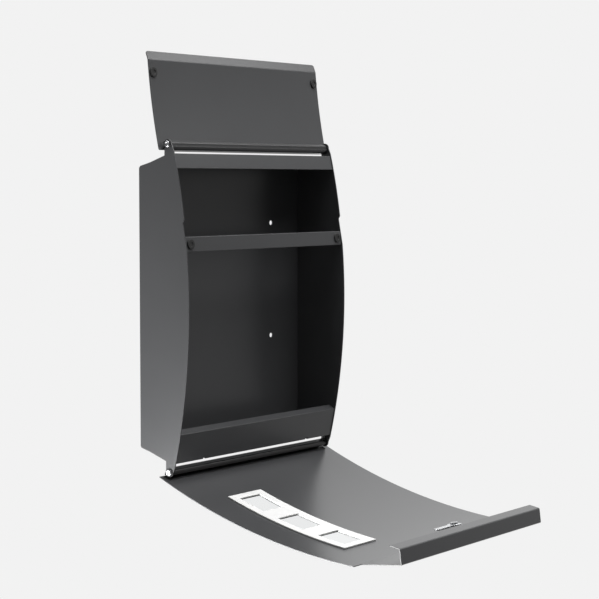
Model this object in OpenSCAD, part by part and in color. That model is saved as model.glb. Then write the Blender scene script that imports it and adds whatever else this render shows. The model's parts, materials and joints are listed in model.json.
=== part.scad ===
// Wall letterbox with a bowed front: a mail flap hinged at the top and a collection door
// hinged at the bottom. Both stand open, as they do while the box is emptied.
// The wall is the plane Y = 0, the front faces -Y, and Z is up. The origin is the centre
// of the four wall holes, on the back face.

/* [Box] */
// Outside width of the box, across the side panels
body_w = 350; // [300:5:420]
// Height of the back plate
back_h = 380; // [330:5:460]
// Depth of the side panels at mid height
depth_mid = 88.5; // [80:0.5:110]
// Depth of the bowed front edge at the level of the hinge pins
depth_pins = 60.5; // [50:0.5:74]
// Thickness of the sheets of the box
sheet_t = 1.5; // [1:0.1:2]
// Slope of the top and bottom edges of the side panels
end_slope = 18.8; // [12:0.2:24]
// Rise of the roof, and fall of the floor, from back to front
roof_rise = 18.5; // [12:0.5:20]

/* [Rails] */
// Height of the rail at the front of the roof
rail_h = 20; // [12:0.5:30]
// Height of the wall at the front of the floor
floor_wall_h = 39; // [20:1:60]
// Length of the lip that leans back from the floor wall
floor_lip = 11; // [6:0.5:20]
// Height of the middle bar
bar_h = 20; // [15:0.5:30]
// Depth of the middle bar's flanges
bar_flange = 13; // [8:0.5:15]
// Drop from the top of the door's wide part to the middle bar
bar_below = 4.7; // [2:0.1:10]

/* [Wall fixing] */
// Diameter of the wall holes
hole_d = 6.5; // [4:0.5:9]
// Side of the box to the wall holes
hole_side = 66; // [40:1:100]
// Top of the back plate to the upper wall holes
hole_top = 80; // [40:1:110]
// Bottom of the back plate to the lower wall holes
hole_bottom = 133; // [60:1:150]

/* [Hinges] */
// Height of each hinge pin above or below the end of the back plate
pin_out = 31; // [28:0.5:40]
// Depth of the hinge pins behind the bowed front edge
pin_inset = 8; // [8:0.25:11]
// Radius of the ears round the hinge pins
ear_r = 6.3; // [5:0.1:6.5]
// Diameter of the hinge pins
pin_d = 4; // [3:0.5:5]
// Length of a hinge pin inside its ear
pin_reach = 12; // [8:1:20]
// Diameter of a hinge pin's head
pin_head_d = 8.8; // [7:0.2:10]
// Radius of the rounded hinge bar
hinge_bar_r = 4.2; // [3.6:0.1:4.4]
// Length of the hinge bar's flat part
hinge_bar_drop = 4.4; // [2:0.2:5]

/* [Door and flap] */
// Thickness of the door and flap sheets
door_t = 1.2; // [0.8:0.1:1.6]
// Overhang of the door and the flap beyond each side panel
door_over = 10; // [8:0.5:16]
// Length of the flap from its hinge to its bend
flap_len = 116; // [90:1:140]
// Length of the flap's finger lip
flap_lip = 12; // [8:0.5:20]
// Outward bend of the finger lip
flap_lip_angle = 15.5; // [10:0.5:25]
// Length of the door and flap beyond their hinges
tail_len = 6.4; // [4:0.1:7]
// Distance along the front from the flap's bend to the top of the door's wide part
lap_gap = 7; // [5:0.5:12]
// Gap from each side panel to the door's narrow top part
narrow_in = 3.5; // [1.5:0.5:15]
// Length of the door's narrow top part
narrow_len = 61.5; // [50:0.5:75]
// Inward bend of the narrow part
narrow_angle = 10; // [8:0.5:14]
// Height of the channel that closes the door's top
channel_h = 19.5; // [12:0.5:22]
// Width of the channel's return flange
channel_return = 15.5; // [8:0.5:18]
// Angle by which the return flange opens away from the door's top
channel_flare = 17; // [0:0.5:20]

/* [Windows] */
// Width of the white window strip
strip_w = 70; // [60:1:90]
// Length of the window strip
strip_len = 201; // [180:1:230]
// Side of the door to the window strip
strip_side = 57; // [30:1:80]
// Hinge to the start of the window strip
strip_start = 71; // [60:1:90]
// Thickness of the window strip
strip_t = 2.2; // [2:0.1:3]
// Side of each square window
window_size = 43.5; // [30:0.5:50]
// Number of windows
window_count = 3; // [1:1:3]
// Distance between the centres of the windows
window_pitch = 68.5; // [60:0.5:70]

/* [Lock] */
// Distance of the lock above the door's wide part
lock_up = 32; // [20:0.5:36]
// Diameter of the lock's thread
lock_d = 18; // [12:0.5:22]
// Length of the lock behind its head
lock_len = 23; // [16:0.5:24]
// Length of the lock's lever, from its axis
lever_len = 44; // [36:0.5:48]
// Width of the lever's tip
lever_w = 11; // [8:0.5:14]

/* [Opening] */
// Angle by which the door stands open
door_open = 99.5; // [0:0.1:99.8]
// Angle by which the flap stands open
flap_open = 178; // [2:0.1:178]

/* [Hidden] */
$fn = 64;
arc_fn = 720;

// Clearances
door_gap = 0.4;
rail_setback = 0.8;
running_gap = 0.05;
bush_gap = 0.03;
end_play = 0.5;
face_gap = 0.05;
rest_gap = 0.3;

// Fittings
washer_r = 6;
washer_t = 1;
pin_head_t = 2;
pin_socket_r = 2.3;
pin_socket_depth = 1.2;
bush_wall = 1.1;
bush_flange_t = 0.4;
bumper_d = 13.5;
bumper_t = 1.8;
bumper_edge = 0.5;
bumper_dimple_r = 3;
bumper_dimple_depth = 0.6;
bar_bumper_side = 9.5;
flap_bumper_at = 99;
flap_bumper_out = 1.5;
tail_corner_r = 5;
lip_corner_r = 4;
floor_lip_rise = 27;
recess_above_bar = 18.2;
recess_step = 4.1;
recess_depth = 3;
head_edge = 0.6;
flat_step = 0.1;
hinge_leg_t = 3;
hinge_foot_t = 1.2;
hinge_foot_up = 6;
stop_w = 3;
stop_t = 3;
stop_side = 1;
drain_r = 2.5;
drain_x = 115;
window_corner_r = 1;
pane_t = 1;
pane_lap = 2.5;
lock_head_r = 11.5;
lock_head_t = 2;
lock_head_edge = 0.6;
plug_inset = 0.3;
lock_nut_r = 13.5;
lock_nut_t = 4;
lock_washer_t = 0.8;
plug_r = 6.5;
plug_square = 7;
key_slot_w = 2;
key_slot_l = 7;
key_slot_depth = 6;
lever_t = 2;
lever_hub_r = 9.5;
screw_head_r = 5;
screw_head_t = 2.4;
screw_r = 2;
screw_len = 7;
screw_bore = 8;
screw_slot_w = 1;
screw_slot_depth = 1;

// Levels and places that follow from the sizes above
top_z = (back_h - hole_top - hole_bottom) / 2 + hole_top;
bottom_z = top_z - back_h;
mid_z = (top_z + bottom_z) / 2;
upper_hole_z = top_z - hole_top;
lower_hole_z = bottom_z + hole_bottom;
hole_x = body_w / 2 - hole_side;
inner_w = body_w - 2 * sheet_t;
door_w = body_w + 2 * door_over;
narrow_w = inner_w - 2 * narrow_in;
top_pin_z = top_z + pin_out;
bottom_pin_z = bottom_z - pin_out;
pin_half = back_h / 2 + pin_out;
sag = depth_mid - depth_pins;
front_r = (pin_half * pin_half + sag * sag) / (2 * sag);
arc_y = front_r - depth_mid;
pin_y = pin_inset - depth_pins;
pin_r = pin_d / 2;
ear_back_y = pin_y + ear_r;
ear_blend = ear_r + 3;
bush_r = pin_r + running_gap + bush_wall;
hinge_bar_flat_x = hinge_bar_r - flat_step;
door_r = front_r + door_gap;
pin_angle = atan2(pin_half, arc_y - pin_y);
pin_to_door = door_r - norm([pin_half, arc_y - pin_y]);
flap_bend_angle = pin_angle - arc_angle(flap_len);
door_top_angle = flap_bend_angle - arc_angle(lap_gap);
narrow_lean = door_top_angle + narrow_angle;
notch = arc_point(door_r, door_top_angle) + door_t / 2 * outward(narrow_lean);
bar_top_z = notch[1] - bar_below;
bar_bottom_z = bar_top_z - bar_h;
bar_setback = bumper_t + rest_gap - door_gap;
bar_mid_angle = asin(((bar_top_z + bar_bottom_z) / 2 - mid_z) / front_r);
recess_top_z = bar_top_z + recess_above_bar;
recess_step_z = recess_top_z + recess_step;
lock_seat = notch + lock_up * along(narrow_lean) + door_t / 2 * outward(narrow_lean);
strip_x = -door_w / 2 + strip_side + strip_w / 2;

// Angle at the centre of the bow of a length along the door
function arc_angle(length) = length / door_r * 180 / PI;
// Point at radius r and angle a above the middle of the bow, as [Y, Z]
function arc_point(r, a) = [arc_y - r * cos(a), mid_z + r * sin(a)];
// Y of the bowed front edge at level z
function front_y(z) = arc_y - sqrt(front_r * front_r - (z - mid_z) * (z - mid_z));
// Unit vectors along and out of a sheet that leans back by a
function along(a) = [sin(a), cos(a)];
function outward(a) = [-cos(a), sin(a)];

// Extrudes a [Y, Z] outline to width w across the box, centred on x
module across(w, x = 0) {
    translate([x - w / 2, 0, 0]) rotate([90, 0, 90]) linear_extrude(w) children();
}

// Sheet of thickness t bent along a line of [Y, Z] points
module bent_sheet(points, t) {
    for (i = [0 : len(points) - 2]) {
        step = points[i + 1] - points[i];
        translate(points[i]) rotate(atan2(step[1], step[0])) translate([0, -t / 2])
            square([norm(step), t]);
    }
    for (i = [1 : len(points) - 2])
        translate(points[i]) circle(r = t / 2);
}

// Ring sector of the bow between two radii and two angles
module bow_sector(r0, r1, a0, a1) {
    reach = (r1 + 10) / cos((a1 - a0) / 2);
    intersection() {
        translate([arc_y, mid_z]) difference() {
            circle(r = r1, $fn = arc_fn);
            circle(r = r0, $fn = arc_fn);
        }
        polygon([[arc_y, mid_z], arc_point(reach, a0), arc_point(reach, (a0 + a1) / 2),
                 arc_point(reach, a1)]);
    }
}

// Places children on a sheet: x across the box, y along the sheet, z out of it
module on_sheet(point, lean, x = 0) {
    translate([x, point[0], point[1]]) rotate([90 - lean, 0, 0]) children();
}

// Tool that rounds the corner of a sheet whose corner is at the origin
module corner_tool(r) {
    linear_extrude(20, center = true) translate([-r, -r]) difference() {
        square(r + 1);
        circle(r = r);
    }
}

// Turn the closed door and the closed flap about their hinge pins
module door_pose() {
    translate([0, pin_y, bottom_pin_z]) rotate([door_open, 0, 0])
        translate([0, -pin_y, -bottom_pin_z]) children();
}
module flap_pose() {
    translate([0, pin_y, top_pin_z]) rotate([-flap_open, 0, 0])
        translate([0, -pin_y, -top_pin_z]) children();
}

// Box

module side_outline() {
    slope_z = -ear_back_y * tan(end_slope);
    blend_top = front_y(top_pin_z - ear_blend);
    blend_bottom = front_y(bottom_pin_z + ear_blend);
    clear_y = -depth_mid - 5;
    difference() {
        union() {
            intersection() {
                polygon([
                    [0, bottom_z], [0, top_z], [ear_back_y, top_z + slope_z],
                    [ear_back_y, top_pin_z], [pin_y - ear_r, top_pin_z],
                    [blend_top, top_pin_z - ear_blend], [clear_y, top_pin_z - ear_blend],
                    [clear_y, bottom_pin_z + ear_blend], [blend_bottom, bottom_pin_z + ear_blend],
                    [pin_y - ear_r, bottom_pin_z], [ear_back_y, bottom_pin_z],
                    [ear_back_y, bottom_z - slope_z]
                ]);
                translate([arc_y, mid_z]) circle(r = front_r, $fn = arc_fn);
            }
            for (z = [bottom_pin_z, top_pin_z])
                translate([pin_y, z]) circle(r = ear_r);
        }
        for (z = [bottom_pin_z, top_pin_z])
            translate([pin_y, z]) circle(r = pin_r + bush_gap);
        polygon([
            [front_y(bar_bottom_z), bar_bottom_z],
            [front_y(recess_top_z) + recess_depth, recess_top_z],
            [front_y(recess_step_z), recess_step_z],
            [clear_y, recess_step_z], [clear_y, bar_bottom_z]
        ]);
    }
}

module side_panel(side) {
    color("#48494b") across(sheet_t, side * (body_w - sheet_t) / 2) side_outline();
}

module back_plate() {
    color("#3c3d3f") difference() {
        translate([-inner_w / 2, -sheet_t, bottom_z]) cube([inner_w, sheet_t, back_h]);
        for (x = [-hole_x, hole_x], z = [lower_hole_z, upper_hole_z])
            translate([x, 1, z]) rotate([90, 0, 0]) cylinder(d = hole_d, h = sheet_t + 2);
    }
}

// The roof slopes up to the front and ends in the upper rail
module roof_plate() {
    rail_top = [front_y(top_z + roof_rise) + rail_setback + sheet_t / 2,
                top_z + roof_rise - sheet_t / 2];
    rail_low_z = top_z + roof_rise - rail_h;
    color("#505153") across(inner_w) difference() {
        bent_sheet([
            [sheet_t, top_z + sheet_t / 2], rail_top,
            [front_y(rail_low_z) + rail_setback + sheet_t / 2, rail_low_z]
        ], sheet_t);
        translate([-sheet_t, top_z - back_h]) square([4 * sheet_t, back_h]);
        translate([0, top_z - sheet_t]) square(4 * sheet_t);
    }
}

// The floor falls to the front, then stands up as a low wall with a lip that leans back
module floor_plate() {
    fold_z = bottom_z - roof_rise + sheet_t / 2;
    wall_top_z = fold_z + floor_wall_h;
    fold = [front_y(fold_z) + rail_setback + sheet_t / 2, fold_z];
    wall_top = [front_y(wall_top_z) + rail_setback + sheet_t / 2, wall_top_z];
    color("#4a4b4d") difference() {
        across(inner_w) difference() {
            bent_sheet([
                [sheet_t, bottom_z - sheet_t / 2], fold, wall_top,
                wall_top + floor_lip * [cos(floor_lip_rise), sin(floor_lip_rise)]
            ], sheet_t);
            translate([-sheet_t, bottom_z]) square([4 * sheet_t, back_h]);
            translate([0, bottom_z - 3 * sheet_t]) square(4 * sheet_t);
        }
        for (x = [-drain_x, drain_x])
            translate([x, fold[0] + 2 * sheet_t, fold_z]) rotate([90, 0, 0])
                cylinder(r = drain_r, h = 4 * sheet_t);
    }
}

// Channel between the side panels: the door rests on it and the lever hooks behind it
module middle_bar() {
    inset = bar_setback + sheet_t / 2;
    top = arc_point(front_r - inset, asin((bar_top_z - sheet_t / 2 - mid_z) / front_r));
    low = arc_point(front_r - inset, asin((bar_bottom_z + sheet_t / 2 - mid_z) / front_r));
    color("#4d4e50") across(inner_w) bent_sheet([
        top + [bar_flange - sheet_t / 2, 0], top, low, low + [bar_flange - sheet_t / 2, 0]
    ], sheet_t);
}

// Round rubber bumper with a domed edge and a dimple, standing on z = 0
module bumper() {
    color("#151515") rotate_extrude() difference() {
        union() {
            square([bumper_d / 2 - bumper_edge, bumper_t]);
            square([bumper_d / 2, bumper_t - bumper_edge]);
            translate([bumper_d / 2 - bumper_edge, bumper_t - bumper_edge]) circle(r = bumper_edge);
        }
        translate([0, bumper_t - bumper_dimple_depth]) square([bumper_dimple_r, bumper_t]);
    }
}

module bar_bumper(side) {
    seat = arc_point(front_r - bar_setback, bar_mid_angle);
    on_sheet(seat, bar_mid_angle, side * (inner_w / 2 - bar_bumper_side)) bumper();
}

// Hinges

// Places a fitting made along +x from the outside face of an ear, pointing inwards
module at_ear(side, z) {
    translate([side * body_w / 2, pin_y, z]) mirror([side > 0 ? 1 : 0, 0, 0]) children();
}

module hinge_pin(side, z) {
    head_x = -washer_t - pin_head_t;
    color("#c9ccd0") at_ear(side, z) rotate([0, 90, 0]) difference() {
        union() {
            translate([0, 0, head_x])
                cylinder(d1 = pin_head_d - 2 * head_edge, d2 = pin_head_d, h = head_edge);
            translate([0, 0, head_x + head_edge])
                cylinder(d = pin_head_d, h = pin_head_t - head_edge);
            translate([0, 0, -washer_t]) cylinder(r = pin_r, h = washer_t + sheet_t + pin_reach);
        }
        translate([0, 0, head_x - 1]) cylinder(r = pin_socket_r, h = pin_socket_depth + 1, $fn = 6);
    }
}

module hinge_washer(side, z) {
    color("#1c1c1d") at_ear(side, z) rotate([0, -90, 0]) difference() {
        cylinder(r = washer_r, h = washer_t);
        translate([0, 0, -1]) cylinder(r = pin_r + bush_gap, h = washer_t + 2);
    }
}

module hinge_bush(side, z) {
    color("#26272a") at_ear(side, z) translate([sheet_t + end_play - bush_flange_t, 0, 0])
        rotate([0, 90, 0]) difference() {
            cylinder(r = bush_r, h = pin_reach);
            translate([0, 0, -1]) cylinder(r = pin_r + running_gap, h = pin_reach + 2);
        }
}

// Section of a hinge bar in a frame at its pin: x points into the box, y to the tail
module hinge_bar_section() {
    low_y = hinge_bar_drop + hinge_bar_r;
    foot_x = -pin_to_door + 2 * face_gap;
    circle(r = hinge_bar_r);
    translate([0, hinge_bar_drop]) circle(r = hinge_bar_r);
    translate([-hinge_bar_flat_x, 0]) square([2 * hinge_bar_flat_x, hinge_bar_drop]);
    translate([foot_x, low_y - hinge_leg_t]) square([-foot_x, hinge_leg_t]);
    translate([foot_x, -hinge_foot_up]) square([hinge_foot_t, hinge_foot_up + low_y]);
}

// Hinge bar in its closed place: end is 1 at the top pins and -1 at the bottom pins
module hinge_bar(end) {
    z = end > 0 ? top_pin_z : bottom_pin_z;
    bar_w = inner_w - 2 * end_play;
    difference() {
        across(bar_w) translate([pin_y, z]) rotate(-end * pin_angle)
            mirror([0, end > 0 ? 0 : 1]) hinge_bar_section();
        for (side = [-1, 1])
            at_ear(side, z) translate([sheet_t + end_play - 1, 0, 0]) rotate([0, 90, 0])
                cylinder(r = bush_r + bush_gap, h = pin_reach + 2);
    }
}

// Flap

module flap_panel() {
    bend = arc_point(door_r + door_t / 2, flap_bend_angle);
    lip_lean = flap_bend_angle + flap_lip_angle;
    lip_end = bend - flap_lip * along(lip_lean);
    tail_angle = pin_angle + arc_angle(tail_len);
    color("#525355") flap_pose() difference() {
        across(door_w) {
            bow_sector(door_r, door_r + door_t, flap_bend_angle, tail_angle);
            bent_sheet([bend, lip_end], door_t);
            translate(bend) circle(r = door_t / 2);
        }
        for (side = [0, 1]) mirror([side, 0, 0]) {
            on_sheet(arc_point(door_r, tail_angle), tail_angle, door_w / 2)
                corner_tool(tail_corner_r);
            on_sheet(lip_end, lip_lean, door_w / 2) rotate(-90) corner_tool(lip_corner_r);
        }
    }
}

module flap_bumper(side) {
    a = pin_angle - arc_angle(flap_bumper_at);
    flap_pose() on_sheet(arc_point(door_r - face_gap, a), a, side * (body_w / 2 + flap_bumper_out))
        mirror([0, 0, 1]) bumper();
}

// Door

// Runs children for each window, on the door's inner face with z outwards
module at_windows() {
    first = strip_start + strip_len / 2 - (window_count - 1) / 2 * window_pitch;
    for (i = [0 : window_count - 1]) {
        a = -pin_angle + arc_angle(first + i * window_pitch);
        on_sheet(arc_point(door_r, a), a, strip_x) children();
    }
}

module window_tool(size, corner) {
    flat = size / 2 - corner;
    linear_extrude(20, center = true) {
        square([size, 2 * flat], center = true);
        square([2 * flat, size], center = true);
        for (x = [-flat, flat], y = [-flat, flat])
            translate([x, y]) circle(r = corner, $fn = 24);
    }
}

module door_panel() {
    tail_angle = -pin_angle - arc_angle(tail_len);
    inner_edge = arc_point(door_r, door_top_angle);
    bend_root = arc_point(door_r + door_t / 2, door_top_angle - arc_angle(door_t));
    channel_top = notch + narrow_len * along(narrow_lean);
    channel_back = channel_top - channel_h * outward(narrow_lean);
    color("#55565a") door_pose() difference() {
        union() {
            across(door_w) bow_sector(door_r, door_r + door_t, tail_angle, door_top_angle);
            across(narrow_w) {
                polygon([inner_edge, bend_root, arc_point(door_r + door_t, door_top_angle),
                         inner_edge + door_t * outward(narrow_lean),
                         notch + door_t * along(narrow_lean)]);
                bent_sheet([notch, channel_top, channel_back,
                            channel_back - channel_return * along(narrow_lean - channel_flare)],
                           door_t);
            }
        }
        at_windows() window_tool(window_size, window_corner_r);
        on_sheet(lock_seat, narrow_lean) cylinder(d = lock_d + 2 * bush_gap, h = 10, center = true);
    }
}

// Door hinge bar with a short tongue at each end, which meets the floor when the door is open
module door_hinge_bar() {
    floor_lean = atan2(roof_rise, -front_y(bottom_z - roof_rise) - rail_setback);
    floor_z = bottom_z - sheet_t + pin_y * tan(floor_lean);
    stop_reach = (floor_z - bottom_pin_z) * cos(floor_lean) - rest_gap;
    stop_root = hinge_bar_r - (hinge_bar_r - bush_r) / 2;
    bar_end = inner_w / 2 - end_play;
    color("#2b2c2e") {
        door_pose() hinge_bar(-1);
        for (side = [-1, 1])
            translate([side * (bar_end - stop_side - stop_w / 2), pin_y, bottom_pin_z])
                rotate([floor_lean, 0, 0]) translate([-stop_w / 2, -stop_t / 2, stop_root])
                    cube([stop_w, stop_t, stop_reach - stop_root]);
    }
}

module window_strip() {
    a0 = -pin_angle + arc_angle(strip_start);
    a1 = -pin_angle + arc_angle(strip_start + strip_len);
    color("#f2f2f0") door_pose() difference() {
        across(strip_w, strip_x) bow_sector(door_r - strip_t, door_r - face_gap, a0, a1);
        at_windows() window_tool(window_size, window_corner_r);
        intersection() {
            across(strip_w, strip_x) bow_sector(door_r - pane_t - 2 * face_gap, door_r, a0, a1);
            at_windows() window_tool(window_size + 2 * pane_lap, window_corner_r);
        }
    }
}

module window_panes() {
    a0 = -pin_angle + arc_angle(strip_start);
    a1 = -pin_angle + arc_angle(strip_start + strip_len);
    color([0.9, 0.93, 0.95, 0.3]) door_pose() intersection() {
        across(strip_w, strip_x) bow_sector(door_r - pane_t - face_gap, door_r - face_gap, a0, a1);
        at_windows() window_tool(window_size + 2 * pane_lap - 2 * rest_gap, window_corner_r);
    }
}

// Lock, made along z from the door's outer face, with z outwards

module lock_pose() {
    door_pose() on_sheet(lock_seat, narrow_lean) children();
}

module lock_body() {
    color("#b9bcc0") lock_pose() difference() {
        union() {
            cylinder(r = lock_head_r, h = lock_head_t - lock_head_edge);
            translate([0, 0, lock_head_t - lock_head_edge])
                cylinder(r1 = lock_head_r, r2 = lock_head_r - lock_head_edge, h = lock_head_edge);
            translate([0, 0, -lock_len]) cylinder(d = lock_d, h = lock_len);
        }
        translate([0, 0, -lock_len - 1])
            cylinder(r = plug_r + running_gap, h = lock_len + lock_head_t + 2);
    }
}

module lock_washer() {
    color("#9fa2a6") lock_pose() translate([0, 0, -door_t - lock_washer_t]) difference() {
        cylinder(r = lock_nut_r, h = lock_washer_t);
        translate([0, 0, -1]) cylinder(d = lock_d + 2 * bush_gap, h = lock_washer_t + 2);
    }
}

module lock_nut() {
    color("#aeb1b5") lock_pose() translate([0, 0, -door_t - lock_washer_t - lock_nut_t]) difference() {
        cylinder(r = lock_nut_r, h = lock_nut_t, $fn = 6);
        translate([0, 0, -1]) cylinder(d = lock_d + 2 * bush_gap, h = lock_nut_t + 2);
    }
}

module lock_plug() {
    color("#c4c7cb") lock_pose() difference() {
        union() {
            translate([0, 0, -lock_len - running_gap])
                cylinder(r = plug_r, h = lock_len + running_gap + lock_head_t - plug_inset);
            translate([-plug_square / 2, -plug_square / 2, -lock_len - lever_t - running_gap])
                cube([plug_square, plug_square, lever_t + running_gap]);
        }
        translate([-key_slot_w / 2, -key_slot_l / 2, lock_head_t - key_slot_depth])
            cube([key_slot_w, key_slot_l, key_slot_depth + 1]);
        translate([0, 0, -lock_len - lever_t - running_gap - 1])
            cylinder(r = screw_r + bush_gap, h = screw_bore + 1);
    }
}

// The lever points across the door when it is unlocked
module lock_lever() {
    tip_x = -lever_len + lever_w / 2;
    color("#d2d5d8") lock_pose() translate([0, 0, -lock_len - running_gap - lever_t]) difference() {
        union() {
            cylinder(r = lever_hub_r, h = lever_t);
            translate([tip_x, 0, 0]) cylinder(d = lever_w, h = lever_t);
            translate([tip_x, -lever_w / 2, 0]) cube([-tip_x, lever_w, lever_t]);
        }
        translate([-plug_square / 2 - bush_gap, -plug_square / 2 - bush_gap, -1])
            cube([plug_square + 2 * bush_gap, plug_square + 2 * bush_gap, lever_t + 2]);
    }
}

module lever_screw() {
    color("#8f9296") lock_pose() translate([0, 0, -lock_len - running_gap - lever_t]) difference() {
        union() {
            translate([0, 0, -screw_head_t]) cylinder(r = screw_head_r, h = screw_head_t);
            translate([0, 0, -screw_head_t]) cylinder(r = screw_r, h = screw_head_t + screw_len);
        }
        translate([-screw_head_r - 1, -screw_slot_w / 2, -screw_head_t - 1])
            cube([2 * screw_head_r + 2, screw_slot_w, screw_slot_depth + 1]);
    }
}

back_plate();
side_panel(-1);  // left_side_panel
side_panel(1);  // right_side_panel
roof_plate();
floor_plate();
middle_bar();
bar_bumper(-1);  // left_bar_bumper
bar_bumper(1);  // right_bar_bumper
hinge_pin(-1, top_pin_z);  // top_left_pin
hinge_pin(1, top_pin_z);  // top_right_pin
hinge_pin(-1, bottom_pin_z);  // bottom_left_pin
hinge_pin(1, bottom_pin_z);  // bottom_right_pin
hinge_washer(-1, top_pin_z);  // top_left_washer
hinge_washer(1, top_pin_z);  // top_right_washer
hinge_washer(-1, bottom_pin_z);  // bottom_left_washer
hinge_washer(1, bottom_pin_z);  // bottom_right_washer
flap_panel();
color("#2b2c2e") flap_pose() hinge_bar(1);  // flap_hinge_bar
hinge_bush(-1, top_pin_z);  // flap_left_bush
hinge_bush(1, top_pin_z);  // flap_right_bush
flap_bumper(-1);  // flap_left_bumper
flap_bumper(1);  // flap_right_bumper
door_panel();
door_hinge_bar();
hinge_bush(-1, bottom_pin_z);  // door_left_bush
hinge_bush(1, bottom_pin_z);  // door_right_bush
window_strip();
window_panes();
lock_body();
lock_washer();
lock_nut();
lock_plug();
lock_lever();
lever_screw();
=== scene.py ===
import json
import math

import bmesh
import bpy
from mathutils import Matrix, Vector


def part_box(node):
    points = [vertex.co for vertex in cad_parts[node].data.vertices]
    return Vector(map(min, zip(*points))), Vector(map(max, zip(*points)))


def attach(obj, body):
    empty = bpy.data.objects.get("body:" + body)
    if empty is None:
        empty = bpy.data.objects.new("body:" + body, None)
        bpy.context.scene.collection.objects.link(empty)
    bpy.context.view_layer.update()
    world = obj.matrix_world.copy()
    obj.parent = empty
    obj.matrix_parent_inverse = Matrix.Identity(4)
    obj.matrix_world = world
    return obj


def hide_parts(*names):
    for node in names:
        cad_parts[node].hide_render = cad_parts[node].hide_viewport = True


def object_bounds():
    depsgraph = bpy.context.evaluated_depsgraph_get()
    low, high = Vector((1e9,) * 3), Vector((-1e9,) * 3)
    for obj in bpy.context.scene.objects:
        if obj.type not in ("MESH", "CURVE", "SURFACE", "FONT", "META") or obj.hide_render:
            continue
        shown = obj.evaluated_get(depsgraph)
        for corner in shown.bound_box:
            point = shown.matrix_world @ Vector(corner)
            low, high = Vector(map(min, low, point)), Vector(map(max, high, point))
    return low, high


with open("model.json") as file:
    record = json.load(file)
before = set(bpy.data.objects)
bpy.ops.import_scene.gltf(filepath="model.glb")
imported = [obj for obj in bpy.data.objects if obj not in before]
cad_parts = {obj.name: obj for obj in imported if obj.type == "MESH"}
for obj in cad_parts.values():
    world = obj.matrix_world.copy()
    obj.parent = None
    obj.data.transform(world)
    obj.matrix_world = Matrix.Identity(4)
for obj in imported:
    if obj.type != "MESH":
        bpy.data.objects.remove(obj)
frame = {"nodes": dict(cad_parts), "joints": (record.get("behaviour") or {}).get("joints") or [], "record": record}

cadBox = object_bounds()
print("frame loaded:", len(frame["nodes"]), "nodes")


# Shader maths: a wrapped socket, so that an expression adds its Math nodes
class Signal:
    def __init__(self, tree, socket):
        self.tree = tree
        self.socket = socket

    def combine(self, operation, first, second):
        return self.tree.node("ShaderNodeMath", {"operation": operation}, {0: first, 1: second})

    def __add__(self, other):
        return self.combine("ADD", self, other)

    def __radd__(self, other):
        return self.combine("ADD", other, self)

    def __sub__(self, other):
        return self.combine("SUBTRACT", self, other)

    def __rsub__(self, other):
        return self.combine("SUBTRACT", other, self)

    def __mul__(self, other):
        return self.combine("MULTIPLY", self, other)

    def __rmul__(self, other):
        return self.combine("MULTIPLY", other, self)


class NodeTree:
    def __init__(self, name):
        self.material = bpy.data.materials.new(name)
        self.material.use_nodes = True
        self.nodes = self.material.node_tree.nodes
        self.links = self.material.node_tree.links
        self.nodes.clear()
        self.output = self.nodes.new("ShaderNodeOutputMaterial")
        self.coords = self.node("ShaderNodeTexCoord", {}, {}, "Object")

    # Adds a node: its settings first, then the values or links of its sockets
    def node(self, kind, settings, sockets, out=0):
        made = self.nodes.new(kind)
        for key, value in settings.items():
            setattr(made, key, value)
        for key, value in sockets.items():
            if isinstance(value, Signal):
                self.links.new(value.socket, made.inputs[key])
            else:
                made.inputs[key].default_value = value
        return Signal(self, made.outputs[out])

    def noise(self, scale, detail=2.0, rough=0.5):
        return self.node("ShaderNodeTexNoise", {}, {
            "Vector": self.coords, "Scale": scale, "Detail": detail, "Roughness": rough})

    def blend(self, mask, low, high):
        low = low if isinstance(low, Signal) else (*low, 1)
        high = high if isinstance(high, Signal) else (*high, 1)
        return self.node("ShaderNodeMix", {"data_type": "RGBA"}, {0: mask, 6: low, 7: high}, 2)

    def spread(self, value, low, high):
        return self.node("ShaderNodeMapRange", {"clamp": True}, {
            "Value": value, "From Min": low, "From Max": high})

    # Lies between 0 on a flat face and 1 on an edge or in a bend
    def edgeMask(self, radius):
        rounded = self.node("ShaderNodeBevel", {"samples": 4}, {"Radius": radius})
        plain = self.node("ShaderNodeNewGeometry", {}, {}, "Normal")
        facing = self.node("ShaderNodeVectorMath", {"operation": "DOT_PRODUCT"},
                           {0: rounded, 1: plain}, "Value")
        return self.spread(1 - facing, 0.01, 0.2)

    def bump(self, height, distance):
        return self.node("ShaderNodeBump", {}, {
            "Height": height, "Distance": distance, "Strength": 1.0})

    def finish(self, surface):
        self.links.new(surface.socket, self.output.inputs["Surface"])
        return self.material

    def principled(self, **sockets):
        names = {key.replace("_", " "): value for key, value in sockets.items()}
        return self.node("ShaderNodeBsdfPrincipled", {}, names)


# Powder coat: fused grains give a fine orange peel, and a painted highlight lightens the base colour along edges
# and bends
def powderCoat(name, look):
    tree = NodeTree(name)
    grain = tree.noise(look["grain"], 3.0, 0.6)
    peel = tree.noise(look["peel"], 2.0)
    cloud = tree.noise(look["cloud"], 3.0)
    speck = tree.node("ShaderNodeTexVoronoi", {"feature": "F1"},
                      {"Vector": tree.coords, "Scale": look["grain"] * 0.6}, "Distance")
    tone = tree.spread(grain * 0.8 + cloud * 0.2, 0.3, 0.7)
    # Painted highlight: where the edge mask rises, the base colour is blended halfway towards the lighter edge
    # colour
    edge = tree.edgeMask(look["edgeHighlightWidth"])
    body = tree.blend(tone, look["dark"], look["light"])
    colour = tree.blend(edge * 0.5, body, look["edge"])
    rough = look["rough"] + 0.03 * (cloud - 0.5) + 0.08 * (grain - 0.5)
    height = peel * 0.7 + grain * 0.35 + (1 - speck) * 0.25
    surface = tree.principled(Base_Color=colour, Roughness=rough, IOR=look["ior"],
                              Coat_Weight=look["gloss"], Coat_Roughness=look["glossRough"],
                              Normal=tree.bump(height, look["depth"]))
    return tree.finish(surface)


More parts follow.
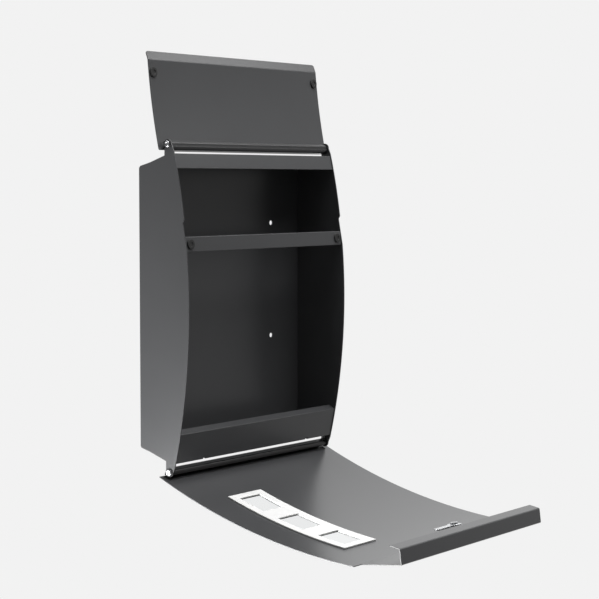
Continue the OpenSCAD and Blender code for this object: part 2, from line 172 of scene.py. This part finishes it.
# Zinc plate: bright, faintly spangled and brushed by tumbling
def zincPlate(name, look):
    tree = NodeTree(name)
    spangle = tree.node("ShaderNodeTexVoronoi", {"feature": "F1"},
                        {"Vector": tree.coords, "Scale": look["spangle"]}, "Color")
    level = tree.node("ShaderNodeSeparateColor", {}, {0: spangle}, "Red")
    scratch = tree.noise(look["scratch"], 4.0, 0.7)
    colour = tree.blend(level * 0.5 + scratch * 0.5, look["dark"], look["light"])
    rough = look["rough"] + 0.12 * level + 0.1 * (scratch - 0.5)
    surface = tree.principled(Base_Color=colour, Metallic=1.0, Roughness=rough,
                              Normal=tree.bump(scratch, look["depth"]))
    return tree.finish(surface)


# Moulded plastic or rubber: a spark-eroded grain and slight flow marks
def moulded(name, look):
    tree = NodeTree(name)
    grain = tree.noise(look["grain"], 4.0, 0.6)
    flow = tree.noise(look["flow"], 2.0)
    colour = tree.blend(tree.spread(flow, 0.3, 0.7), look["dark"], look["light"])
    rough = look["rough"] + 0.12 * (grain - 0.5) + 0.06 * (flow - 0.5)
    surface = tree.principled(Base_Color=colour, Roughness=rough, IOR=look["ior"],
                              Normal=tree.bump(grain, look["depth"]))
    return tree.finish(surface)


# Clear acrylic: see-through, with a soft sheen where it is seen at a slant
def clearAcrylic(name, look):
    tree = NodeTree(name)
    haze = tree.noise(look["haze"], 2.0)
    slant = tree.node("ShaderNodeFresnel", {}, {"IOR": look["ior"]})
    through = tree.node("ShaderNodeBsdfTransparent", {}, {"Color": (*look["tint"], 1)})
    sheen = tree.node("ShaderNodeBsdfGlossy", {}, {
        "Color": (1, 1, 1, 1), "Roughness": look["rough"],
        "Normal": tree.bump(haze, look["depth"])})
    inside = tree.node("ShaderNodeNewGeometry", {}, {}, "Backfacing")
    surface = tree.node("ShaderNodeMixShader", {},
                        {0: slant * (1 - inside) * look["sheen"], 1: through, 2: sheen})
    return tree.finish(surface)


coatLook = {
    # Each coat's edge colour is a painted highlight laid along edges and bends, lighter than the coat itself
    "graphite": {"dark": (0.044, 0.045, 0.047), "light": (0.062, 0.063, 0.066),
                 "edge": (0.12, 0.12, 0.125), "rough": 0.34, "grain": 2600, "peel": 700,
                 "cloud": 14, "ior": 1.42, "gloss": 0.5, "glossRough": 0.28,
                 "edgeHighlightWidth": 0.0006, "depth": 0.0000025},
    "black": {"dark": (0.008, 0.008, 0.009), "light": (0.014, 0.014, 0.015),
              "edge": (0.06, 0.06, 0.062), "rough": 0.3, "grain": 2600, "peel": 900,
              "cloud": 20, "ior": 1.45, "gloss": 0.5, "glossRough": 0.28,
              "edgeHighlightWidth": 0.0005, "depth": 0.000006},
}
zincLook = {"dark": (0.52, 0.53, 0.55), "light": (0.86, 0.87, 0.88), "rough": 0.24,
            "spangle": 900, "scratch": 3200, "depth": 0.000015}
nickelLook = {"dark": (0.66, 0.66, 0.67), "light": (0.9, 0.9, 0.9), "rough": 0.12,
              "spangle": 300, "scratch": 5000, "depth": 0.000005}
nylonLook = {"dark": (0.012, 0.012, 0.013), "light": (0.02, 0.02, 0.021), "rough": 0.5,
             "grain": 2400, "flow": 60, "ior": 1.53, "depth": 0.00002}
rubberLook = {"dark": (0.008, 0.008, 0.008), "light": (0.016, 0.016, 0.016), "rough": 0.62,
              "grain": 3000, "flow": 120, "ior": 1.52, "depth": 0.00004}
whiteLook = {"dark": (0.76, 0.76, 0.755), "light": (0.82, 0.82, 0.81), "rough": 0.38,
             "grain": 2200, "flow": 25, "ior": 1.5, "depth": 0.00001}
acrylicLook = {"tint": (0.99, 0.995, 0.995), "haze": 30, "ior": 1.45, "rough": 0.05,
               "sheen": 0.35, "depth": 0.00002}

finishes = {
    "graphite_powder_coat": powderCoat("graphitePowderCoat", coatLook["graphite"]),
    "dark_powder_coat": powderCoat("blackPowderCoat", coatLook["black"]),
    "zinc_plated_steel": zincPlate("zincPlate", zincLook),
    "bright_nickel": zincPlate("brightNickel", nickelLook),
    "black_nylon": moulded("blackNylon", nylonLook),
    "rubber": moulded("rubber", rubberLook),
    "white_plastic": moulded("whitePlastic", whiteLook),
    "clear_acrylic": clearAcrylic("clearAcrylic", acrylicLook),
}
print("materials made:", len(finishes))


# Every CAD node takes the finish that its record names
slotOf = {entry["node"]: entry["material_slot"] for entry in frame["record"]["subparts"]}
bodyOf = {node: body for body, nodes in frame["record"]["behaviour"]["bodies"].items()
          for node in nodes}
for name, part in frame["nodes"].items():
    if not part.material_slots:
        part.data.materials.append(finishes[slotOf[name]])
    for place in part.material_slots:
        place.material = finishes[slotOf[name]]


# A finished piece: smooth faces, sharp where it turns by more than a set angle
def addPiece(name, mesh, body, slot, sharp=35):
    data = bpy.data.meshes.new(name)
    mesh.to_mesh(data)
    mesh.free()
    piece = bpy.data.objects.new(name, data)
    bpy.context.scene.collection.objects.link(piece)
    data.materials.append(finishes[slot])
    data.shade_smooth()
    data.set_sharp_from_angle(angle=math.radians(sharp))
    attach(piece, body)
    return piece


# Large flat faces keep their own normals; only the broken edges shade round
def evenNormals(piece):
    even = piece.modifiers.new("even", "WEIGHTED_NORMAL")
    even.keep_sharp = True


# Sheets and turned pieces get real broken edges: a merged copy of the node is bevelled
edgeBreak = {
    "width": {"sheet": 0.00035, "bar": 0.0004, "fitting": 0.0002, "plastic": 0.0003},
    "segments": 3,
    "turn": 32,
    "merge": 0.000002,
    "flat": 0.05,
}
softened = {
    "sheet": ["back_plate", "left_side_panel", "right_side_panel", "roof_plate", "floor_plate",
              "middle_bar", "lock_lever"],
    "bar": ["flap_hinge_bar", "door_hinge_bar"],
    "fitting": ["lock_nut", "lock_body", "lock_plug", "lock_washer", "lever_screw",
                "top_left_pin", "top_right_pin", "bottom_left_pin", "bottom_right_pin"],
    "plastic": ["left_bar_bumper", "right_bar_bumper", "flap_left_bumper", "flap_right_bumper",
                "top_left_washer", "top_right_washer", "bottom_left_washer",
                "bottom_right_washer", "flap_left_bush", "flap_right_bush", "door_left_bush",
                "door_right_bush"],
}


def breakEdges(name, width):
    mesh = bmesh.new()
    mesh.from_mesh(frame["nodes"][name].data)
    bmesh.ops.remove_doubles(mesh, verts=mesh.verts, dist=edgeBreak["merge"])
    bmesh.ops.dissolve_limit(mesh, angle_limit=math.radians(edgeBreak["flat"]), verts=mesh.verts,
                             edges=mesh.edges, use_dissolve_boundaries=False)
    turn = math.radians(edgeBreak["turn"])
    corners = [e for e in mesh.edges if len(e.link_faces) == 2 and e.calc_face_angle(0) > turn]
    bmesh.ops.bevel(mesh, geom=corners, offset=width, offset_type="OFFSET", affect="EDGES",
                    segments=edgeBreak["segments"], profile=0.5, material=-1, clamp_overlap=True)
    bmesh.ops.recalc_face_normals(mesh, faces=mesh.faces)
    piece = addPiece(name + "_edged", mesh, bodyOf[name], slotOf[name])
    evenNormals(piece)
    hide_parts(name)
    return piece


for kind, names in softened.items():
    for name in names:
        breakEdges(name, edgeBreak["width"][kind])
print("edges broken:", sum(len(names) for names in softened.values()))


# Sheet work: how near counts as touching, and the turns and steps that all folds share
forming = {"cut": 1e-7, "merge": 1e-6, "near": 1e-5, "turn": 40, "edgeSegments": 3,
           "foldSegments": 5, "cornerSegments": 7, "holeSegments": 48}

# The bow that the side panels' front edges, the door and the flap share, in the Y-Z plane
joints = {joint["name"]: joint for joint in frame["joints"]}
topPin = Vector(joints["flap_hinge"]["pos_m"])
bottomPin = Vector(joints["door_hinge"]["pos_m"])
bow = {"pinInset": 0.008, "doorGap": 0.0004}
bow["middle"] = (topPin.z + bottomPin.z) / 2
pinHalf = (topPin.z - bottomPin.z) / 2
depthMid = -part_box("left_side_panel")[0].y
sag = depthMid + topPin.y - bow["pinInset"]
bow["radius"] = (pinHalf ** 2 + sag ** 2) / (2 * sag)
bow["centre"] = Vector((0, bow["radius"] - depthMid, bow["middle"]))
bow["radius"] += bow["doorGap"]
bow["pinAngle"] = math.atan2(pinHalf, bow["centre"].y - topPin.y)


def bowAngle(length):
    return length / bow["radius"]


def outOf(angle):
    return Vector((0, -math.cos(angle), math.sin(angle)))


def alongSheet(angle):
    return Vector((0, math.sin(angle), math.cos(angle)))


# A strip of the bow: an edge across the box, spun round the bow's centre
def bowStrip(width, centreX, radius, low, high, steps):
    mesh = bmesh.new()
    start = bow["centre"] + radius * outOf(low)
    ends = [mesh.verts.new(start + Vector((centreX + side * width / 2, 0, 0)))
            for side in (-1, 1)]
    edge = mesh.edges.new(ends)
    bmesh.ops.spin(mesh, geom=[*ends, edge], cent=bow["centre"], axis=(1, 0, 0),
                   dvec=(0, 0, 0), angle=low - high, steps=steps, use_duplicate=False)
    return mesh


def cutAcross(mesh, point, normal):
    everything = [*mesh.verts, *mesh.edges, *mesh.faces]
    bmesh.ops.bisect_plane(mesh, geom=everything, plane_co=point, plane_no=normal,
                           dist=forming["cut"])


def angleOf(point):
    return math.atan2(point.z - bow["middle"], bow["centre"].y - point.y)


# Cuts the row of windows: bisects along their sides, then removes what lies inside
def cutWindows(mesh, look):
    half = look["size"] / 2
    for side in (-half, half):
        cutAcross(mesh, (look["x"] + side, 0, 0), (1, 0, 0))
    for number in range(look["count"]):
        place = look["start"] + (number - (look["count"] - 1) / 2) * look["pitch"]
        low, high = (bowAngle(place + side) - bow["pinAngle"] for side in (-half, half))
        for angle in (low, high):
            cutAcross(mesh, bow["centre"], alongSheet(angle))
        inside = [face for face in mesh.faces
                  if abs(face.calc_center_median().x - look["x"]) < half
                  and low < angleOf(face.calc_center_median()) < high]
        bmesh.ops.delete(mesh, geom=inside, context="FACES")


# Fills the flat face round the lock again with a round hole in it
def cutLockHole(mesh, radius):
    lock = joints["lock_turn"]
    shut = Matrix.Rotation(math.radians(joints["door_hinge"]["range_deg"][0]), 3, "X")
    axis = shut @ Vector(lock["axis"])
    place = shut @ (Vector(lock["pos_m"]) - bottomPin) + bottomPin
    face = min((face for face in mesh.faces if abs(face.normal.dot(axis)) > 0.999),
               key=lambda face: (face.calc_center_median() - place).length)
    place -= (place - face.calc_center_median()).dot(face.normal) * face.normal
    rim = list(face.edges)
    bmesh.ops.delete(mesh, geom=[face], context="FACES_ONLY")
    turn = axis.to_track_quat("Z", "Y").to_matrix().to_4x4()
    ring = bmesh.ops.create_circle(mesh, cap_ends=False, radius=radius,
                                   segments=forming["holeSegments"],
                                   matrix=Matrix.Translation(place) @ turn)["verts"]
    rim += list({edge for vert in ring for edge in vert.link_edges})
    bmesh.ops.triangle_fill(mesh, use_beauty=True, use_dissolve=False, edges=rim)


# Folds the sheet on: extrudes an edge by each step in turn
def foldOn(mesh, edges, steps):
    folds = []
    for step in steps:
        folds.append(edges)
        made = bmesh.ops.extrude_edge_only(mesh, edges=edges)["geom"]
        verts = [item for item in made if isinstance(item, bmesh.types.BMVert)]
        bmesh.ops.translate(mesh, verts=verts, vec=step)
        edges = [item for item in made if isinstance(item, bmesh.types.BMEdge)
                 and all(vert in verts for vert in item.verts)]
    return folds, edges


def roundFold(mesh, edges, radius):
    bmesh.ops.bevel(mesh, geom=edges, offset=radius, offset_type="OFFSET", affect="EDGES",
                    segments=forming["foldSegments"], profile=0.5, material=-1,
                    clamp_overlap=True)


def roundCorners(mesh, corners, radius):
    bmesh.ops.bevel(mesh, geom=corners, offset=radius, offset_type="OFFSET",
                    affect="VERTICES", segments=forming["cornerSegments"], profile=0.5,
                    material=-1, clamp_overlap=True)


def endEdges(mesh, test):
    return [edge for edge in mesh.edges if all(test(vert.co) for vert in edge.verts)]


# Gives a bent sheet its thickness and broken edges, turns it open and lets it stand for its node
def finishSheet(name, mesh, look, pin, turn):
    bmesh.ops.remove_doubles(mesh, verts=mesh.verts, dist=forming["merge"])
    bmesh.ops.recalc_face_normals(mesh, faces=mesh.faces)
    bmesh.ops.rotate(mesh, verts=mesh.verts, cent=pin,
                     matrix=Matrix.Rotation(math.radians(turn), 3, "X"))
    piece = addPiece(name + "_formed", mesh, bodyOf[name], slotOf[name],
                     forming["turn"])
    wall = piece.modifiers.new("wall", "SOLIDIFY")
    wall.thickness = look["thickness"]
    wall.offset = 0
    wall.use_even_offset = True
    edge = piece.modifiers.new("edge", "BEVEL")
    edge.width = look["edge"]
    edge.segments = forming["edgeSegments"]
    edge.limit_method = "ANGLE"
    edge.angle_limit = math.radians(forming["turn"])
    evenNormals(piece)
    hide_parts(name)
    return piece


flapLook = {"width": 0.37, "thickness": 0.0012, "length": 0.116, "tail": 0.0064,
            "lip": 0.012, "lipTurn": 15.5, "lipCorner": 0.004, "tailCorner": 0.005,
            "fold": 0.0012, "edge": 0.00028, "pastRest": 1.0, "steps": 60}
doorLook = {"width": 0.37, "thickness": 0.0012, "tail": 0.0064, "lap": 0.007,
            "narrowWidth": 0.34, "narrowLength": 0.0615, "narrowTurn": 10,
            "channel": 0.0195, "channelLip": 0.0155, "flare": 17, "fold": 0.0014,
            "edge": 0.00028, "lockHole": 0.00903, "steps": 140}
windowLook = {"size": 0.0435, "count": 3, "pitch": 0.0685, "x": -0.093, "start": 0.1715}
stripLook = {"width": 0.07, "from": 0.071, "length": 0.201, "thickness": 0.00215,
             "gap": 0.00005, "edge": 0.0006, "steps": 72}


def makeFlap(look):
    skin = bow["radius"] + look["thickness"] / 2
    bend = bow["pinAngle"] - bowAngle(look["length"])
    tail = bow["pinAngle"] + bowAngle(look["tail"])
    mesh = bowStrip(look["width"], 0, skin, bend, tail, look["steps"])
    low = endEdges(mesh, lambda co: abs(angleOf(co) - bend) < forming["near"])
    lean = bend + math.radians(look["lipTurn"])
    folds, rim = foldOn(mesh, low, [-look["lip"] * alongSheet(lean)])
    tips = list({vert for edge in rim for vert in edge.verts})
    tails = [vert for vert in mesh.verts if abs(angleOf(vert.co) - tail) < forming["near"]]
    roundCorners(mesh, tips, look["lipCorner"])
    roundCorners(mesh, tails, look["tailCorner"])
    roundFold(mesh, [edge for edge in folds[0] if edge.is_valid], look["fold"])
    turn = joints["flap_hinge"]["range_deg"][1] + look["pastRest"]
    return finishSheet("flap_panel", mesh, look, topPin, -turn)


def makeDoor(look, windows):
    skin = bow["radius"] + look["thickness"] / 2
    bend = bow["pinAngle"] - bowAngle(flapLook["length"])
    top = bend - bowAngle(look["lap"])
    tail = -bow["pinAngle"] - bowAngle(look["tail"])
    mesh = bowStrip(look["width"], 0, skin, tail, top, look["steps"])
    for side in (-1, 1):
        cutAcross(mesh, (side * look["narrowWidth"] / 2, 0, 0), (1, 0, 0))
    cutWindows(mesh, windows)
    lean = top + math.radians(look["narrowTurn"])
    flare = math.radians(look["flare"])
    near = forming["near"]
    rim = endEdges(mesh, lambda co: abs(angleOf(co) - top) < near
                   and abs(co.x) < look["narrowWidth"] / 2 + near)
    folds, _ = foldOn(mesh, rim, [look["narrowLength"] * alongSheet(lean),
                                  -look["channel"] * outOf(lean),
                                  -look["channelLip"] * alongSheet(lean - flare)])
    for fold in folds[1:]:
        roundFold(mesh, fold, look["fold"])
    cutLockHole(mesh, look["lockHole"])
    return finishSheet("door_panel", mesh, look, bottomPin,
                       -joints["door_hinge"]["range_deg"][0])


def makeStrip(look, windows):
    low = bowAngle(look["from"]) - bow["pinAngle"]
    high = bowAngle(look["from"] + look["length"]) - bow["pinAngle"]
    middle = bow["radius"] - look["gap"] - look["thickness"] / 2
    mesh = bowStrip(look["width"], windows["x"], middle, low, high, look["steps"])
    cutWindows(mesh, windows)
    return finishSheet("window_strip", mesh, look, bottomPin,
                       -joints["door_hinge"]["range_deg"][0])


makeFlap(flapLook)
makeDoor(doorLook, windowLook)
makeStrip(stripLook, windowLook)
print("door, flap and window strip formed")


# Studio: a pale floor, soft lamps, and a surround that is dim in front and bright behind
studio = {
    "backdrop": 0.888,
    "surround": {"toward": (0.62, 0.78, 0.0), "starts": -0.4, "dim": 0.12, "bright": 1.0},
    "floorDrop": 0.3,
    "floorReach": 40.0,
    "lamps": {
        "key": {"at": (0.35, -1.4, 2.6), "size": 1.4, "power": 52},
        "overhead": {"at": (0.2, -0.4, 2.3), "size": 1.6, "power": 52},
        "low": {"at": (-0.72, 0.12, -0.6), "size": 0.5, "power": 14},
        "side": {"at": (1.5, -1.15, 1.3), "size": 0.5, "power": 4},
    },
    "aim": (0, -0.15, -0.1),
}


def makeSurround(look):
    world = bpy.context.scene.world or bpy.data.worlds.new("surround")
    bpy.context.scene.world = world
    world.use_nodes = True
    nodes, links = world.node_tree.nodes, world.node_tree.links
    nodes.clear()
    coords = nodes.new("ShaderNodeTexCoord")
    facing = nodes.new("ShaderNodeVectorMath")
    facing.operation = "DOT_PRODUCT"
    facing.inputs[1].default_value = look["surround"]["toward"]
    level = nodes.new("ShaderNodeMapRange")
    level.interpolation_type = "SMOOTHSTEP"
    level.inputs["From Min"].default_value = look["surround"]["starts"]
    level.inputs["To Min"].default_value = look["surround"]["dim"]
    level.inputs["To Max"].default_value = look["surround"]["bright"]
    path = nodes.new("ShaderNodeLightPath")
    seen = nodes.new("ShaderNodeMix")
    seen.inputs["B"].default_value = look["backdrop"]
    background = nodes.new("ShaderNodeBackground")
    background.inputs["Color"].default_value = (1, 1, 1, 1)
    output = nodes.new("ShaderNodeOutputWorld")
    links.new(coords.outputs["Generated"], facing.inputs[0])
    links.new(facing.outputs["Value"], level.inputs["Value"])
    links.new(level.outputs["Result"], seen.inputs["A"])
    links.new(path.outputs["Is Camera Ray"], seen.inputs["Factor"])
    links.new(seen.outputs["Result"], background.inputs["Strength"])
    links.new(background.outputs["Background"], output.inputs["Surface"])


makeSurround(studio)
bpy.context.scene.view_settings.view_transform = "Standard"

floorMesh = bmesh.new()
bmesh.ops.create_grid(floorMesh, x_segments=1, y_segments=1, size=studio["floorReach"],
                      matrix=Matrix.Translation((0, 0, cadBox[0][2] - studio["floorDrop"])))
floorData = bpy.data.meshes.new("floor")
floorMesh.to_mesh(floorData)
floorMesh.free()
floor = bpy.data.objects.new("floor", floorData)
bpy.context.scene.collection.objects.link(floor)
floorTree = NodeTree("paleFloor")
floorData.materials.append(floorTree.finish(floorTree.node(
    "ShaderNodeEmission", {}, {"Color": (1, 1, 1, 1), "Strength": studio["backdrop"]})))
floor.visible_diffuse = False
floor.visible_glossy = False
floor.visible_shadow = False

for name, lamp in studio["lamps"].items():
    light = bpy.data.lights.new(name, "AREA")
    light.size = lamp["size"]
    light.energy = lamp["power"]
    holder = bpy.data.objects.new(name, light)
    holder.location = lamp["at"]
    toward = Vector(studio["aim"]) - Vector(lamp["at"])
    holder.rotation_euler = toward.to_track_quat("-Z", "Y").to_euler()
    holder.visible_camera = False
    bpy.context.scene.collection.objects.link(holder)

camera = {"aim": (-0.0175, -0.1525, -0.0175), "distance": 2.4, "heading": 52.34,
          "dip": 3.87, "lens": 104.8}
heading = math.radians(camera["heading"])
dip = math.radians(camera["dip"])
sight = Vector((math.sin(heading) * math.cos(dip), math.cos(heading) * math.cos(dip),
                -math.sin(dip)))
cameraData = bpy.data.cameras.new("camera")
cameraData.lens = camera["lens"]
cameraObject = bpy.data.objects.new("camera", cameraData)
cameraObject.location = Vector(camera["aim"]) - camera["distance"] * sight
cameraObject.rotation_euler = sight.to_track_quat("-Z", "Y").to_euler()
bpy.context.scene.collection.objects.link(cameraObject)
bpy.context.scene.camera = cameraObject
print("studio ready")
